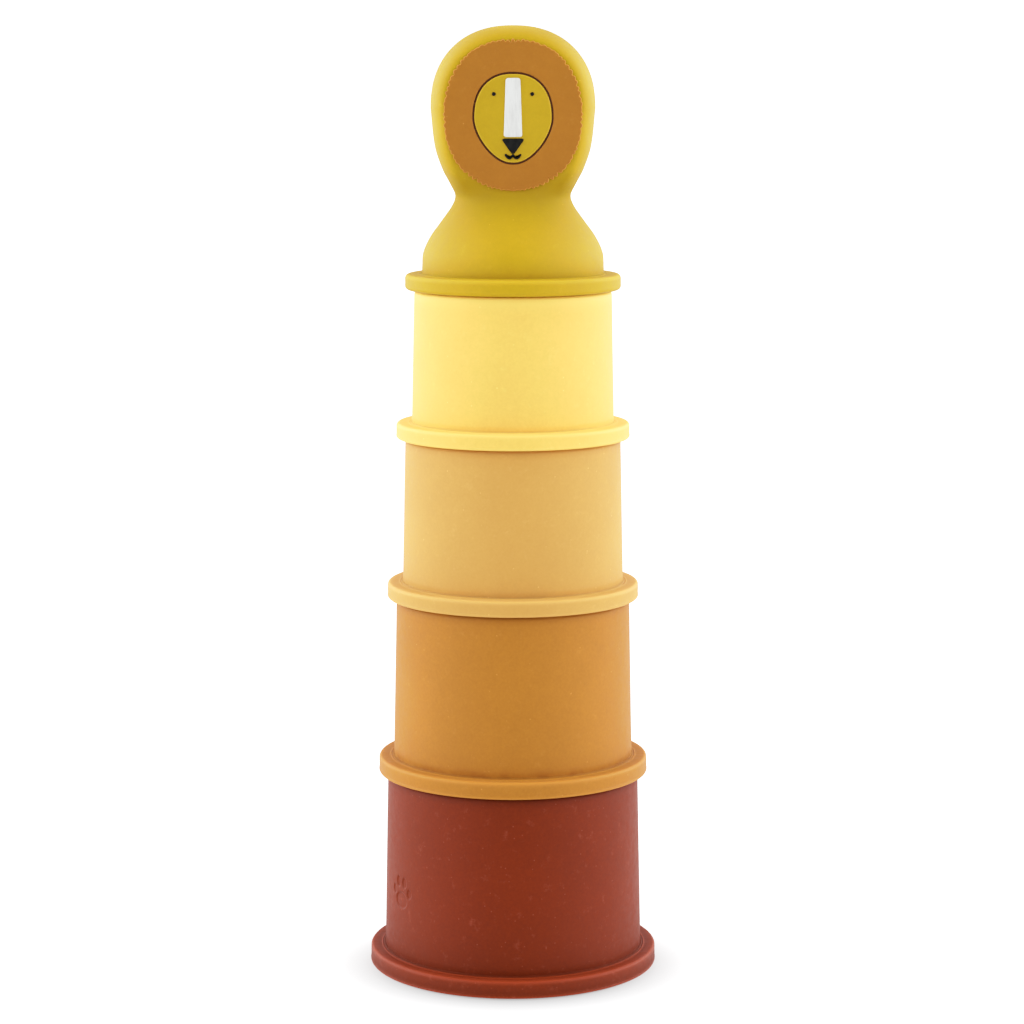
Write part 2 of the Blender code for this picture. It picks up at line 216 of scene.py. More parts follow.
# Silicone's finish
GLOSS = 0.15
ROUGHNESS = 0.5
REFRACTION = 1.41
GLOW_RADIUS = (0.004, 0.002, 0.001)
BROAD_SCALE = 45.0
FINE_SCALE = 420.0
GRAIN_SCALE = 1300.0
SCUFF_SCALE = 300.0
DUST_SCALE = 400.0
FIBRE_SCALE = 210.0
PATCH_SCALE = 160.0
PORE_SCALE = 1500.0
SWELL_SCALE = 110.0
DUST_STRENGTH = 0.8
DUST_TONE = (1.5, 0.02)
PATCH_STRENGTH = 0.4
CREASE_ROUGHNESS = 0.45
# How dark the painted shade of the edge marks is
PAINTED_SHADE_TONE = 0.45

# Painted highlights (marks above 0) and painted shade (marks below 0) along the profiles: values at a spot
# of the profile and how far they reach
# Painted highlight along each rim's outer top corner
RIDGE_REACH = (0.0070, 0.0020)
# Painted highlight along the flash line low on each rim's side
FLASH_MARKS = (1.0, 0.9, 0.9, 0.9, 0.4)
FLASH_REACH = (0.0008, 0.0008)
# Painted shade in the crease at each wall's foot
CREASE_MARK = -0.8
CREASE_REACH = (0.0009, 0.0012)
# Painted highlight on the bead beside that crease
BEAD_MARKS = (1.0, 0.6, 0.35, 0.35, 0.25)
BEAD_REACH = (0.0006, 0.0006)
# Painted shade on each shoulder under the rim above; on the pale cup's shoulder painted light lifts it
# instead
SHOULDER_MARKS = (-0.75, -0.45, -0.3, 1.0)
SHOULDER_REACHES = (0.0015, 0.0015, 0.0015, 0.0050)
SHOULDER_DROP = 0.0006
# Painted shade low on the base rim's side
SIDE_MARKS = (-0.45, 0.0, 0.0, 0.0)
SIDE_HEIGHT = 0.0018
SIDE_REACH = (0.0045, 0.0045)
# Painted shade up each wall from its foot
FOOT_MARKS = (-0.35, -0.12, -0.12, -0.10)
FOOT_REACH = (0.0030, 0.0260)
# Painted shade in the topper's waist under the head
WAIST_SPOT = (0.0178, 0.2420)
WAIST_MARK = -0.50
WAIST_REACH = (0.0200, 0.0170)
# Painted shade round the bell's foot
BELL_FOOT_MARK = -0.2
BELL_FOOT_REACH = (0.0040, 0.0040)
# Painted highlight across the head's crown
CROWN_MARK = 0.8
CROWN_REACH = (0.0300, 0.0030)

# Studio
WORLD_AROUND = 0.01
WORLD_SIDES = 6.9
WORLD_BEHIND = 0.7
WORLD_BOUNCE = 1.5
WORLD_OVERHEAD = 0.5
BACKDROP = 2.0
FLOOR_GLOW = 1.0
FLOOR_TONE = 0.65
FLOOR_WHITE = (0.98, 0.99, 1.0)
# Painted contact shadow on the floor round the base cup
CONTACT_SHADE = 0.67
CONTACT_REACH = 0.027
CONTACT_FORWARD = 0.0075
CONTACT_FALL = 1.6
FLOOR_SIZE = 60.0
FLOOR_HEIGHT = -0.0001
CAMERA_PLACE = (-0.0003, -0.940, 0.2838)
CAMERA_TILT = math.radians(8.495)
CAMERA_LENS = 106.9
RESPONSE_WHITE = 1.6
RESPONSE_POINTS = ((0.4, 0.4), (0.8, 0.709), (1.2, 0.872))


# Meshes through loops of points


def skin(name, loops, start=None, end=None, wrap=False, edges=None):
    """Closed mesh through loops of equal length; start and end are points that close the ends.

    edges holds one value a loop, kept as the point attribute "edge": above 0 where the colour is lightened,
    mostly as a painted highlight, below 0 where it gets painted shade.
    """
    loops = np.asarray(loops, float)
    rows, count = loops.shape[:2]
    points = [tuple(p) for p in loops.reshape(-1, 3)]
    columns = np.arange(count)
    after = (columns + 1) % count
    faces = []
    for row in range(rows if wrap else rows - 1):
        upper, lower = row * count, ((row + 1) % rows) * count
        quads = np.stack([upper + columns, lower + columns, lower + after, upper + after], axis=1)
        faces += [tuple(q) for q in quads.tolist()]
    if start is not None:
        points.append(tuple(start))
        faces += [(len(points) - 1, int(a), int(b)) for a, b in zip(columns, after)]
    if end is not None:
        points.append(tuple(end))
        last = (rows - 1) * count
        faces += [(len(points) - 1, int(last + b), int(last + a)) for a, b in zip(columns, after)]
    mesh = bpy.data.meshes.new(name)
    mesh.from_pydata(points, [], faces)
    attribute = mesh.attributes.new("edge", "FLOAT", "POINT")
    values = np.zeros(len(points))
    if edges is not None:
        values[: rows * count] = np.repeat(edges, count)
    attribute.data.foreach_set("value", values)
    mesh.shade_smooth()
    mesh.update()
    piece = bpy.data.objects.new(name, mesh)
    bpy.context.scene.collection.objects.link(piece)
    return piece


def dress(piece, material, body, node):
    """Give a piece its material, hang it on its body's empty and hide the CAD node it stands for."""
    piece.data.materials.clear()
    piece.data.materials.append(material)
    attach(piece, body)
    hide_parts(node)
    return piece


# Turned cups


def arc(radius, height, size, start, end, steps=ROUND_STEPS):
    """Points of an arc about (radius, height), angles in degrees from outwards."""
    angles = np.radians(np.linspace(start, end, steps + 1))
    return [(radius + size * math.cos(a), height + size * math.sin(a)) for a in angles]


def line(start, end, steps):
    """Points between two others, without the ends."""
    shares = np.linspace(0, 1, steps + 1)[1:-1]
    return [tuple(np.array(start) * (1 - t) + np.array(end) * t) for t in shares]


def foot_and_rim(index, foot, outer):
    """Crease at the wall's foot, fine bead, rim top, rounded side, flash line and underside."""
    rim = RIM_HEIGHTS[index]
    over, under = RIM_TOP_ROUNDS[index], RIM_BOTTOM_ROUNDS[index]
    points = arc(foot + CREASE_ROUND, rim + CREASE_RISE, CREASE_ROUND + CREASE_DEPTH, 180, 270, 5)
    points += [(foot + 2 * CREASE_ROUND, rim + HAIR)]
    bead = foot + BEAD_OFFSET
    for share in np.linspace(-1, 1, 9):
        rise = BEAD_HEIGHT * math.cos(share * math.pi / 2) ** 2
        points.append((bead + share * BEAD_WIDTH / 2, rim - RIM_TOP_SLOPE + rise))
    edge = outer - FLASH_DEPTHS[index]
    points += line(points[-1], (edge - over, rim - RIM_TOP_SLOPE), 4)
    points += arc(edge - over, rim - RIM_TOP_SLOPE - over, over, 90, 0, 10)
    points += line(points[-1], (edge, under + FLASH_RISES[0]), 10)
    points += [(edge, under + FLASH_RISES[0]), (edge + FLASH_DEPTHS[index] * 0.3, under + FLASH_RISES[1])]
    points += arc(outer - under, under, under, 8, -90, 6)
    points += line(points[-1], (foot - WALL + MOUTH_ROUND + HAIR, 0.0), 4)
    return points


def edge_marks(profile, spots):
    """Marks along a profile: each spot is a place, the mark there and its reach across and up."""
    marks = np.zeros(len(profile))
    for place, mark, reach in spots:
        shares = np.hypot(*((np.asarray(profile, float) - place) / reach).T)
        marks += mark * np.maximum(1 - shares, 0.0) ** 2
    return np.clip(marks, -1.0, 1.0)


def rim_spots(index, foot, outer):
    """Painted highlights on the outer corner, along the thin flash line below it and on the bead, and
    painted shade in the crease at the wall's foot.
    """
    rim = RIM_HEIGHTS[index]
    return [
        ((outer, rim), 1.0, RIDGE_REACH),
        ((outer, FLASH_HEIGHT / 2), FLASH_MARKS[index], FLASH_REACH),
        ((foot, rim), CREASE_MARK, CREASE_REACH),
        ((foot + BEAD_OFFSET, rim), BEAD_MARKS[index], BEAD_REACH),
    ]


def cup_profile(index, top, outer, foot, wall_heights):
    """Half section of a cup standing on height 0, down the outside and up the inside."""
    rim = RIM_HEIGHTS[index]
    shoulder = foot - (top - rim) * math.tan(DRAFT_ANGLE)
    spigot = foot - SPIGOT_INSET
    crown = top + SPIGOT_HEIGHT
    points = [(spigot * share, crown) for share in (0.3, 0.6, 0.9)]
    points += arc(spigot - SPIGOT_ROUND, crown - SPIGOT_ROUND, SPIGOT_ROUND, 90, 0)
    points += arc(spigot + SPIGOT_FOOT_ROUND, top + SPIGOT_FOOT_ROUND, SPIGOT_FOOT_ROUND, 180, 270, 5)
    points += line(points[-1], (shoulder - SHOULDER_ROUND - HAIR, top), 3)
    points += arc(shoulder - SHOULDER_ROUND, top - SHOULDER_ROUND, SHOULDER_ROUND, 90, 0)
    for height in wall_heights:
        points.append((foot - (height - rim) * math.tan(DRAFT_ANGLE), height))
    points += foot_and_rim(index, foot, outer)
    points += mouth_round(foot)
    points += inside_profile(foot - WALL, rim, shoulder - WALL, top - WALL, spigot - WALL, crown - WALL)
    return points


def mouth_round(foot):
    """The rounded inner edge of the mouth."""
    return arc(foot - WALL + MOUTH_ROUND, MOUTH_ROUND, MOUTH_ROUND, -90, -180, 5)


def inside_profile(foot, rim, shoulder, top, spigot, crown):
    """The inside of a cup from above the mouth up to the crown; all sizes are those of the inside."""
    points = line((foot, 2 * MOUTH_ROUND), (foot, rim), 3)
    points += [(foot, rim)]
    points += line((foot, rim), (shoulder, top - INSIDE_ROUND), 6)
    points += arc(shoulder - INSIDE_ROUND, top - INSIDE_ROUND, INSIDE_ROUND, 0, 90, 5)
    points += line(points[-1], (spigot + SPIGOT_FOOT_ROUND + HAIR, top), 3)
    points += arc(spigot + SPIGOT_FOOT_ROUND, top + SPIGOT_FOOT_ROUND, SPIGOT_FOOT_ROUND, 270, 180, 4)
    corner = INSIDE_SPIGOT_ROUND
    points += arc(spigot - corner, crown - corner, corner, 0, 90, 5)
    points += [(spigot * share, crown) for share in (0.85, 0.5, 0.25)]
    return points


def paw_depth(along, up):
    """How deep the mark is at a place on the wall; the pads are soft-edged ellipses."""
    deepest = 0.0
    for centre_along, centre_up, half_along, half_up in PAW_PADS:
        share = math.hypot((along - centre_along) / half_along, (up - centre_up) / half_up)
        inside = (1 - share) * min(half_along, half_up) / PAW_SOFTNESS
        deepest = max(deepest, smooth_step(inside, -0.5, 0.5))
    return PAW_DEPTH * deepest


def smooth_step(value, low, high):
    t = min(max((value - low) / (high - low), 0.0), 1.0)
    return t * t * (3 - 2 * t)


def wobble(angle, height, seed):
    """Slight unevenness of a soft moulding, never outwards."""
    wave = math.sin(2 * angle + seed) + 0.6 * math.sin(3 * angle - 2 * seed + height * 60)
    wave += 0.4 * math.sin(5 * angle + 3 * seed + height * 110)
    return -WOBBLE * (1 + wave / 2)


def cup_angles(marked):
    """Angles round a cup, finer across the paw mark."""
    angles = list(np.linspace(0, 2 * math.pi, TURN_STEPS, endpoint=False) - math.pi)
    if not marked:
        return angles
    reach = PAW_REACH / PAW_RADIUS
    fine = np.arange(-reach, reach, PAW_SPACING / PAW_RADIUS) + PAW_ANGLE
    coarse = [a for a in angles if abs(a - PAW_ANGLE) > reach + 0.01]
    return sorted(coarse + list(fine))


def wall_heights(top, rim, marked):
    """Heights of the wall's rows from the shoulder down, finer across the paw mark."""
    low, high = rim + WALL_FOOT_GAP, top - SHOULDER_ROUND - HAIR
    rows = list(np.linspace(high, low, WALL_ROWS))
    if not marked:
        return rows
    fine = np.arange(-PAW_REACH, PAW_REACH, PAW_SPACING) + PAW_HEIGHT
    coarse = [z for z in rows if abs(z - PAW_HEIGHT) > PAW_REACH + PAW_MARGIN]
    return sorted(coarse + list(fine), reverse=True)


def make_cup(index):
    """A cup at its place in the stack, sized from its CAD box."""
    node = CUPS[index]
    low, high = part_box(node)
    marked = index == 0
    outer = high.x
    foot = outer - FOOT_INSETS[index]
    top = high.z - low.z - SPIGOT_HEIGHT
    rim = RIM_HEIGHTS[index]
    profile = cup_profile(index, top, outer, foot, wall_heights(top, rim, marked))
    angles = cup_angles(marked)
    loops = []
    for radius, height in profile:
        loop = []
        for angle in angles:
            r = radius + wobble(angle, low.z + height, index + 1.0)
            along = (angle - PAW_ANGLE) * foot
            up = height - PAW_HEIGHT
            if marked and abs(along) < PAW_REACH and abs(up) < PAW_REACH and radius > foot - PAW_WALL:
                r -= paw_depth(along, up)
            loop.append((r * math.cos(angle), r * math.sin(angle), low.z + height))
        loops.append(loop)
    shoulder = foot - (top - rim) * math.tan(DRAFT_ANGLE)
    # Painted highlights and shade at the rim; painted shade on the shoulder under the rim above (painted
    # light on the pale cup's), up the wall from its foot and low on the base rim's side
    spots = rim_spots(index, foot, outer)
    reach = SHOULDER_REACHES[index]
    spots.append(((shoulder, top - SHOULDER_DROP), SHOULDER_MARKS[index], (reach, reach)))
    spots.append(((foot, rim), FOOT_MARKS[index], FOOT_REACH))
    spots.append(((outer, SIDE_HEIGHT), SIDE_MARKS[index], SIDE_REACH))
    start = (0.0, 0.0, high.z)
    end = (0.0, 0.0, high.z - WALL)
    return skin(node + "_moulding", loops, start, end, edges=edge_marks(profile, spots))


# Topper


def smooth_curve(knots, value, column=1):
    """Cubic through (value, result, ...) knots whose slopes follow the neighbouring knots."""
    last = len(knots) - 1
    if value <= knots[0][0]:
        return knots[0][column]
    if value >= knots[last][0]:
        return knots[last][column]
    i = max(j for j in range(last) if knots[j][0] <= value)

    def slope(j):
        before, after = knots[max(j - 1, 0)], knots[min(j + 1, last)]
        return (after[column] - before[column]) / (after[0] - before[0])

    span = knots[i + 1][0] - knots[i][0]
    t = (value - knots[i][0]) / span
    start, end = knots[i][column], knots[i + 1][column]
    return (
        start * (1 + 2 * t) * (1 - t) ** 2
        + slope(i) * span * t * (1 - t) ** 2
        + end * t * t * (3 - 2 * t)
        + slope(i + 1) * span * t * t * (t - 1)
    )


def topper_half_width(z):
    """Front outline: knots up to the head's widest height, then a superellipse over the top."""
    if z <= HEAD_CENTRE_Z:
        return smooth_curve(WIDTH_KNOTS, z)
    rise = min((z - HEAD_CENTRE_Z) / HEAD_TOP_RISE, 1.0)
    return HEAD_HALF_WIDTH * (1 - rise**HEAD_EXPONENT) ** (1 / HEAD_EXPONENT)


def edge_distance(x, z):
    """How far a point of the head's front lies inside the head's outline."""
    if z <= HEAD_CENTRE_Z:
        return topper_half_width(z) - abs(x)
    across, up = abs(x) / HEAD_HALF_WIDTH, (z - HEAD_CENTRE_Z) / HEAD_TOP_RISE
    share = (across**HEAD_EXPONENT + up**HEAD_EXPONENT) ** (1 / HEAD_EXPONENT)
    if share == 0:
        return HEAD_HALF_WIDTH
    return math.hypot(x, z - HEAD_CENTRE_Z) * (1 / share - 1)


def topper_half_depth(x, z):
    """Half the thickness at a point of the front view: elliptic below, a round-edged slab above."""
    half_width = topper_half_width(z)
    if half_width == 0:
        return 0.0
    inside = max(1 - (x / half_width) ** 2, 0.0)
    elliptic = smooth_curve(DEPTH_KNOTS, z) * math.sqrt(inside)
    reach = min(max(edge_distance(x, z) / HEAD_EDGE_ROUND, 0.0), 1.0)
    slab = HEAD_HALF_DEPTH * math.sqrt(1 - (1 - reach) ** 2)
    share = smooth_step(z, BLEND_BOTTOM_Z, BLEND_TOP_Z)
    return elliptic * (1 - share) + slab * share


def section(z):
    """One ring of the topper's outside."""
    half_width = topper_half_width(z)
    ring = []
    for step in range(TOPPER_STEPS):
        angle = 2 * math.pi * step / TOPPER_STEPS
        x = half_width * math.cos(angle)
        side = round(math.sin(angle), 9)
        y = math.copysign(topper_half_depth(x, z), side) if side else 0.0
        ring.append((x, y, z))
    return ring


def ellipse(half_width, half_depth, z):
    angles = [2 * math.pi * step / TOPPER_STEPS for step in range(TOPPER_STEPS)]
    return [(half_width * math.cos(a), half_depth * math.sin(a), z) for a in angles]


def make_topper():
    low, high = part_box("lion_topper")
    outer = high.x
    index = len(CUPS)
    foot = outer - FOOT_INSETS[index]
    # Painted shade in the waist and round the bell's foot, a painted highlight across the crown, and the
    # rim's painted highlights and shade
    spots = [
        (WAIST_SPOT, WAIST_MARK, WAIST_REACH),
        ((foot, BELL_FOOT_Z), BELL_FOOT_MARK, BELL_FOOT_REACH),
        ((0.0, high.z), CROWN_MARK, CROWN_REACH),
    ]
    for (radius, height), mark, reach in rim_spots(index, foot, outer):
        spots.append(((radius, low.z + height), mark, reach))
    loops = []
    for step in range(HEAD_ROWS - 1, -1, -1):
        loops.append(section(HEAD_CENTRE_Z + HEAD_TOP_RISE * math.sin(math.pi / 2 * step / HEAD_ROWS)))
    spans = round((HEAD_CENTRE_Z - BELL_FOOT_Z) / TOPPER_ROW)
    for step in range(1, spans + 1):
        loops.append(section(HEAD_CENTRE_Z + (BELL_FOOT_Z - HEAD_CENTRE_Z) * step / spans))
    for radius, height in foot_and_rim(index, foot, outer):
        loops.append(ellipse(radius, radius, low.z + height))
    for radius, height in mouth_round(foot):
        loops.append(ellipse(radius, radius, low.z + height))
    cavity_top = CAVITY_KNOTS[-1][0]
    for z in np.linspace(CAVITY_KNOTS[0][0], cavity_top, CAVITY_ROWS):
        loops.append(ellipse(smooth_curve(CAVITY_KNOTS, z, 1), smooth_curve(CAVITY_KNOTS, z, 2), z))
    for step in range(1, DOME_ROWS):
        angle = math.pi / 2 * step / DOME_ROWS
        z = cavity_top + CAVITY_DOME_RISE * math.sin(angle)
        width, depth = CAVITY_KNOTS[-1][1:]
        loops.append(ellipse(width * math.cos(angle), depth * math.cos(angle), z))
    profile = [(loop[0][0], loop[0][2]) for loop in loops]
    crown, dome = (0.0, 0.0, high.z), (0.0, 0.0, cavity_top + CAVITY_DOME_RISE)
    return skin("lion_topper_moulding", loops, crown, dome, edges=edge_marks(profile, spots))


# Inlays


def superellipse(centre_z, half_width, half_height, exponent, count, shape):
    """Closed outline; shape(angle) returns factors for x and z at each point."""
    points = []
    for step in range(count):
        angle = 2 * math.pi * (step + 0.5) / count
        c, s = math.cos(angle), math.sin(angle)
        reach = (abs(c) ** exponent + abs(s) ** exponent) ** (-1 / exponent)
        across, up = shape(angle)
        points.append((half_width * reach * c * across, centre_z + half_height * reach * s * up))
    return points


def grown(outline, amount):
    """The outline moved outwards by that amount at each point."""
    outline = np.asarray(outline, float)
    along = np.roll(outline, -1, axis=0) - np.roll(outline, 1, axis=0)
    length = np.hypot(along[:, 0], along[:, 1])
    normal = np.stack([along[:, 1], -along[:, 0]], axis=1) / length[:, None]
    return outline + amount * normal


def softened(outline, reach=9):
    """The outline with its small nicks averaged away."""
    return sum(np.roll(outline, step, axis=0) for step in range(-reach, reach + 1)) / (2 * reach + 1)


def rounded(corners, size, steps=6):
    """A polygon whose corners are cut by curves that start that far from each corner."""
    points = []
    for i, (x, z) in enumerate(corners):
        before, after = corners[i - 1], corners[(i + 1) % len(corners)]
        ends = []
        for other in (before, after):
            length = math.hypot(other[0] - x, other[1] - z)
            ends.append((x + (other[0] - x) * size / length, z + (other[1] - z) * size / length))
        for step in range(steps + 1):
            t = step / steps
            points.append(
                tuple(
                    (1 - t) ** 2 * ends[0][axis] + 2 * t * (1 - t) * (x, z)[axis] + t * t * ends[1][axis]
                    for axis in (0, 1)
                )
            )
    return points


def resampled(outline, count):
    """The same closed outline with evenly spaced points."""
    closed = np.vstack([outline, outline[:1]])
    lengths = np.concatenate([[0], np.cumsum(np.hypot(*np.diff(closed, axis=0).T))])
    places = np.linspace(0, lengths[-1], count, endpoint=False)
    return np.stack([np.interp(places, lengths, closed[:, axis]) for axis in (0, 1)], axis=1)


def mane_outline():
    """The CAD's ring of tufts with finer, uneven nicks; the same on the left and on the right."""

    def tuft(angle):
        turn = angle - math.pi / 2
        depth = TUFT_DEPTH * (1 + TUFT_VARIATION * math.cos(TUFT_WAVES * turn))
        broad = 1 - abs(math.cos(MANE_TUFTS * turn / 2))
        uneven = turn + sum(drift * math.sin(waves * turn) for waves, drift in FINE_DRIFTS)
        fine = FINE_DEPTH * (1 - abs(math.cos(FINE_TUFTS * uneven / 2)))
        fine *= 1 - FINE_SPREAD + FINE_SPREAD * math.prod(math.cos(waves * turn) for waves in FINE_WAVES)
        dip = broad * (1 - FINE_SHARE) + fine * FINE_SHARE
        factor = 1 - dip * depth / MANE_HALF_WIDTH
        return factor, factor

    return superellipse(
        MANE_CENTRE_Z, MANE_HALF_WIDTH, MANE_HALF_HEIGHT, MANE_EXPONENT, OUTLINE_POINTS, tuft
    )


def face_outline():
    def narrowing(angle):
        return 1 - CHIN_TAPER * max(-math.sin(angle), 0.0) ** 1.5, 1.0

    return superellipse(
        FACE_CENTRE_Z, FACE_HALF_WIDTH, FACE_HALF_HEIGHT, FACE_EXPONENT, OUTLINE_POINTS, narrowing
    )


def bridge_outline():
    corners = [
        (-BRIDGE_BOTTOM_HALF_WIDTH, BRIDGE_BOTTOM_Z),
        (BRIDGE_BOTTOM_HALF_WIDTH, BRIDGE_BOTTOM_Z),
        (BRIDGE_TOP_HALF_WIDTH, BRIDGE_TOP_Z),
        (-BRIDGE_TOP_HALF_WIDTH, BRIDGE_TOP_Z),
    ]
    return resampled(rounded(corners, BRIDGE_CORNER), 120)


def nose_outline():
    corners = [
        (0.0, NOSE_TOP_Z - NOSE_HEIGHT),
        (NOSE_HALF_WIDTH, NOSE_TOP_Z),
        (-NOSE_HALF_WIDTH, NOSE_TOP_Z),
    ]
    return resampled(rounded(corners, NOSE_CORNER), 96)


def at_depth(outline, depth):
    """Points of an outline at a depth counted forwards from the mid plane."""
    return [(x, -depth, z) for x, z in outline]


def edge_steps(edge, steps=5):
    """Insets and drops of a quarter-round edge, from the side to the front."""
    angles = np.linspace(0, math.pi / 2, steps + 1)
    return [(edge * (1 - math.cos(a)), edge * (1 - math.sin(a))) for a in angles]


def plate_marks(first, rows):
    """Marks of a plate's rows of points: from that row on, its rounded outer edge gets a lighter line,
    partly the overmould's flash and partly a painted highlight.
    """
    marks = np.zeros(rows)
    painted_light = np.sin(np.linspace(0, math.pi, len(edge_steps(1.0))))
    marks[first : first + len(painted_light)] = np.minimum(painted_light * 2, 1.0)
    return marks


def puck(name, outline, back, front, edge, crown=0.0):
    """Solid plate with a rounded front edge and a slightly domed front."""
    outline = np.asarray(outline, float)
    centre = outline.mean(axis=0)
    loops = []
    for share in (0.25, 0.6, 1.0):
        loops.append(at_depth(centre + (outline - centre) * share, back))
    for inset, drop in edge_steps(edge):
        loops.append(at_depth(grown(outline, -inset), front - drop))
    inner = grown(outline, -edge)
    for share in np.linspace(0.94, 0.1, 10):
        loops.append(at_depth(centre + (inner - centre) * share, front + crown * (1 - share**2)))
    start = (centre[0], -back, centre[1])
    end = (centre[0], -(front + crown), centre[1])
    return skin(name, loops, start, end, edges=plate_marks(3, len(loops)))


def ring_plate(name, outline, hole, back, front, edge, crown=0.0):
    """Plate with a hole; outline and hole have the same number of points."""
    outline, hole = np.asarray(outline, float), np.asarray(hole, float)
    outer, inner = softened(grown(outline, -edge)), grown(hole, edge)
    loops = [at_depth(hole, back), at_depth(outline, back)]
    for inset, drop in edge_steps(edge):
        loops.append(at_depth(grown(outline, -inset), front - drop))
    for share in np.linspace(0, 1, 15)[1:-1]:
        loops.append(at_depth(outer * (1 - share) + inner * share, front + crown * share * (2 - share)))
    for inset, drop in reversed(edge_steps(edge)):
        loops.append(at_depth(grown(hole, inset), front + crown - drop))
    return skin(name, loops, wrap=True, edges=plate_marks(2, len(loops)))


def eye_outline(side):
    """A round eye on one side of the nose bridge."""
    angles = np.linspace(0, 2 * math.pi, EYE_POINTS, endpoint=False)
    across = side * EYE_SPACING + EYE_RADIUS * np.cos(angles)
    return np.stack([across, EYE_Z + EYE_RADIUS * np.sin(angles)], axis=1)


def mouth_line():
    """Points along two equal sagging curves under the nose."""
    points = []
    for step in range(-24, 25):
        share = step / 24
        points.append((share * MOUTH_HALF_WIDTH, MOUTH_Z - MOUTH_SAG * abs(math.sin(math.pi * share))))
    return points


def band_outline(points, width):
    """Outline of a line of that width with round ends."""
    points = np.asarray(points, float)
    along = np.gradient(points, axis=0)
    normal = np.stack([-along[:, 1], along[:, 0]], axis=1) / np.hypot(*along.T)[:, None]
    lower, upper = points - normal * width / 2, points + normal * width / 2
    ends = []
    for point, direction in ((points[-1], along[-1]), (points[0], -along[0])):
        heading = math.atan2(direction[1], direction[0])
        turns = np.linspace(-math.pi / 2, math.pi / 2, 7)[1:-1] + heading
        ends.append(point + width / 2 * np.stack([np.cos(turns), np.sin(turns)], axis=1))
    return np.vstack([lower, ends[0], upper[::-1], ends[1]])


# Materials


class Shader:
    """Small helper round one material's nodes."""

    def __init__(self, name):
        self.material = bpy.data.materials.new(name)
        self.material.use_nodes = True
        self.tree = self.material.node_tree
        self.principled = self.tree.nodes["Principled BSDF"]
        coordinates = self.tree.nodes.new("ShaderNodeTexCoord")
        self.place = coordinates.outputs["Object"]

    def put(self, socket, value):
        if isinstance(value, bpy.types.NodeSocket):
            self.tree.links.new(value, socket)
        else:
            socket.default_value = value

    def node(self, kind, settings=None, **inputs):
        made = self.tree.nodes.new("ShaderNode" + kind)
        for key, value in (settings or {}).items():
            setattr(made, key, value)
        for key, value in inputs.items():
            self.put(made.inputs[key.replace("_", " ")], value)
        return made

    def scaled(self, x, y, z):
        """Coordinates stretched by three factors."""
        mapping = self.node("Mapping", Vector=self.place, Scale=(x, y, z))
        return mapping.outputs["Vector"]

    def noise(self, scale, detail=3.0, roughness=0.5, vector=None):
        made = self.node("TexNoise", Vector=vector or self.place, Scale=scale, Detail=detail)
        made.inputs["Roughness"].default_value = roughness
        return made.outputs["Fac"]

    def edge(self):
        """The mesh's own marks: above 0 mostly a painted highlight, below 0 painted shade."""
        return self.node("Attribute", {"attribute_name": "edge"}).outputs["Fac"]

    def ranged(self, value, low, high, to_low=0.0, to_high=1.0):
        made = self.node("MapRange", {"clamp": True})
        for name, given in (
            ("Value", value),
            ("From Min", low),
            ("From Max", high),
            ("To Min", to_low),
            ("To Max", to_high),
        ):
            self.put(made.inputs[name], given)
        return made.outputs["Result"]

    def math(self, operation, first, second):
        made = self.node("Math", {"operation": operation})
        self.put(made.inputs[0], first)
        self.put(made.inputs[1], second)
        return made.outputs["Value"]

    def mix(self, factor, first, second, blend="MIX"):
        made = self.node("Mix", {"data_type": "RGBA", "blend_type": blend})
        self.put(made.inputs[0], factor)
        self.put(made.inputs[6], first)
        self.put(made.inputs[7], second)
        return made.outputs[2]


def linear(hex_colour):
    """An sRGB hex colour as linear light with alpha 1."""
    channels = [int(hex_colour[i : i + 2], 16) / 255 for i in (0, 2, 4)]
    return (*[c / 12.92 if c <= 0.04045 else ((c + 0.055) / 1.055) ** 2.4 for c in channels], 1.0)


def lint(shader, scale, share, size, stretch=(1, 1, 1)):
    """Mask of small scattered dust specks."""
    cells = shader.node(
        "TexVoronoi", Vector=shader.scaled(*[scale * s for s in stretch]), Scale=1.0, Randomness=1.0
    )
    spot = shader.ranged(cells.outputs["Distance"], size * 0.5, size, 1.0, 0.0)
    split = shader.node("SeparateColor", Color=cells.outputs["Color"])
    chosen = shader.ranged(split.outputs["Red"], share * 0.97, share, 1.0, 0.0)
    return shader.math("MULTIPLY", spot, chosen)


def toned(colour, factor, lift=0.0):
    """A colour made lighter or darker by a factor, with a share of white added."""
    return (*[min(c * factor * (1 - lift) + lift, 0.95) for c in colour[:3]], 1.0)


def darkened_in_patches(shader, colour, height, spread, patch_colour):
    """The colour with darker patches in a band from that height up."""
    split = shader.node("SeparateXYZ", Vector=shader.place)
    above = shader.ranged(split.outputs["Z"], height, height + spread, 1.0, 0.0)
    below = shader.ranged(split.outputs["Z"], height - 5 * HAIR, height, 0.0, 1.0)
    patches = shader.ranged(shader.noise(PATCH_SCALE, 4.0, 0.6), 0.45, 0.62, 0.0, PATCH_STRENGTH)
    near = shader.math("MULTIPLY", above, below)
    return shader.mix(shader.math("MULTIPLY", near, patches), colour, linear(patch_colour))


